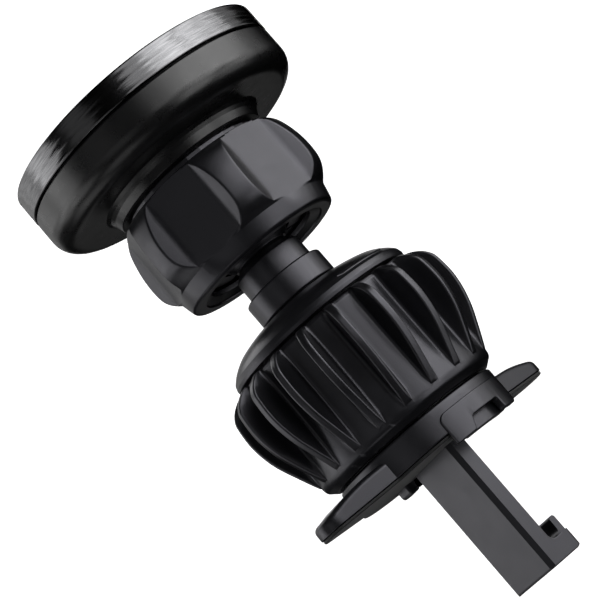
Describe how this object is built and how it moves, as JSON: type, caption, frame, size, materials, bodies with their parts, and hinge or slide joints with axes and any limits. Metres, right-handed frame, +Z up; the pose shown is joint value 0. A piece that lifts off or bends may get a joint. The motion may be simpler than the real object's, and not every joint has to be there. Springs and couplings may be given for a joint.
{
  "type": "car phone mount",
  "caption": "Magnetic car phone mount: round steel-rimmed head on a ball joint with a fluted locking nut, a finned clamp knob, and a hook that grips an air-vent blade.",
  "frame": {"origin": "on the main axis, where the base meets the thin grip plate under it", "axes": "-Y along the main axis towards the phone face, +Y into the vent, -Z the way the hook tip points, +Z up"},
  "size_m": [0.0402, 0.0824, 0.0434],
  "materials": {
    "black_plastic": "satin moulded, fine grain",
    "black_brushed_steel": "black plated, brushed round the rim",
    "black_rubber": "matte, non-slip",
    "white_nylon": "natural nylon",
    "zinc_steel": "zinc plated",
    "brass": "turned",
    "nickel_magnet": "nickel plated"
  },
  "bodies": {
    "base": {"base_plate": "black_plastic", "front_jaw": "black_plastic", "rear_jaw": "black_plastic", "grip_plate": "black_rubber", "thrust_washer": "black_plastic", "retaining_clip": "zinc_steel"},
    "knob": {"clamp_knob": "black_plastic", "knob_cap": "black_plastic", "stem_collar": "black_plastic", "ball_stem": "black_plastic", "threaded_insert": "brass", "stem_screw_1": "zinc_steel", "stem_screw_2": "zinc_steel", "stem_screw_3": "zinc_steel"},
    "hook": {"hook_arm": "black_plastic", "hook_screw": "zinc_steel", "hook_pin": "zinc_steel"},
    "seat": {"ball_seat": "white_nylon"},
    "ring": {"friction_ring": "white_nylon"},
    "head": {"socket_collet": "black_plastic", "collet_screw_1": "zinc_steel", "collet_screw_2": "zinc_steel", "collet_screw_3": "zinc_steel", "head_shell": "black_plastic", "face_ring": "black_brushed_steel", "steel_yoke": "zinc_steel", "magnet_holder": "white_nylon", "magnet_1": "nickel_magnet", "magnet_2": "nickel_magnet", "magnet_3": "nickel_magnet", "magnet_4": "nickel_magnet", "magnet_5": "nickel_magnet", "magnet_6": "nickel_magnet", "face_pad": "black_rubber"},
    "washer": {"nut_washer": "black_plastic"},
    "nut": {"locking_nut": "black_plastic"}
  },
  "joints": [
    {"name": "knob_turn", "type": "hinge", "parent": "base", "child": "knob", "pos_m": [0, 0, 0], "axis": [0, 1, 0], "range_deg": [0, 1440]},
    {"name": "hook_slide", "type": "slide", "parent": "base", "child": "hook", "axis": [0, -1, 0], "range_m": [0, 0.008]},
    {"name": "head_tilt", "type": "hinge", "parent": "knob", "child": "seat", "pos_m": [0, -0.0399, 0], "axis": [1, 0, 0], "range_deg": [-12, 12]},
    {"name": "head_pan", "type": "hinge", "parent": "seat", "child": "ring", "pos_m": [0, -0.0399, 0], "axis": [0, 0, 1], "range_deg": [-12, 12]},
    {"name": "head_spin", "type": "hinge", "parent": "ring", "child": "head", "pos_m": [0, -0.0399, 0], "axis": [0, 1, 0], "continuous": true},
    {"name": "nut_travel", "type": "slide", "parent": "head", "child": "washer", "axis": [0, 1, 0], "range_m": [0, 0.00025]},
    {"name": "nut_turn", "type": "hinge", "parent": "washer", "child": "nut", "pos_m": [0, -0.0399, 0], "axis": [0, 1, 0], "range_deg": [0, 60]}
  ],
  "couplings": [
    {"joint": "hook_slide", "follows": "knob_turn", "m_per_rad": 0.0003183},
    {"joint": "nut_travel", "follows": "nut_turn", "m_per_rad": 0.000238}
  ]
}
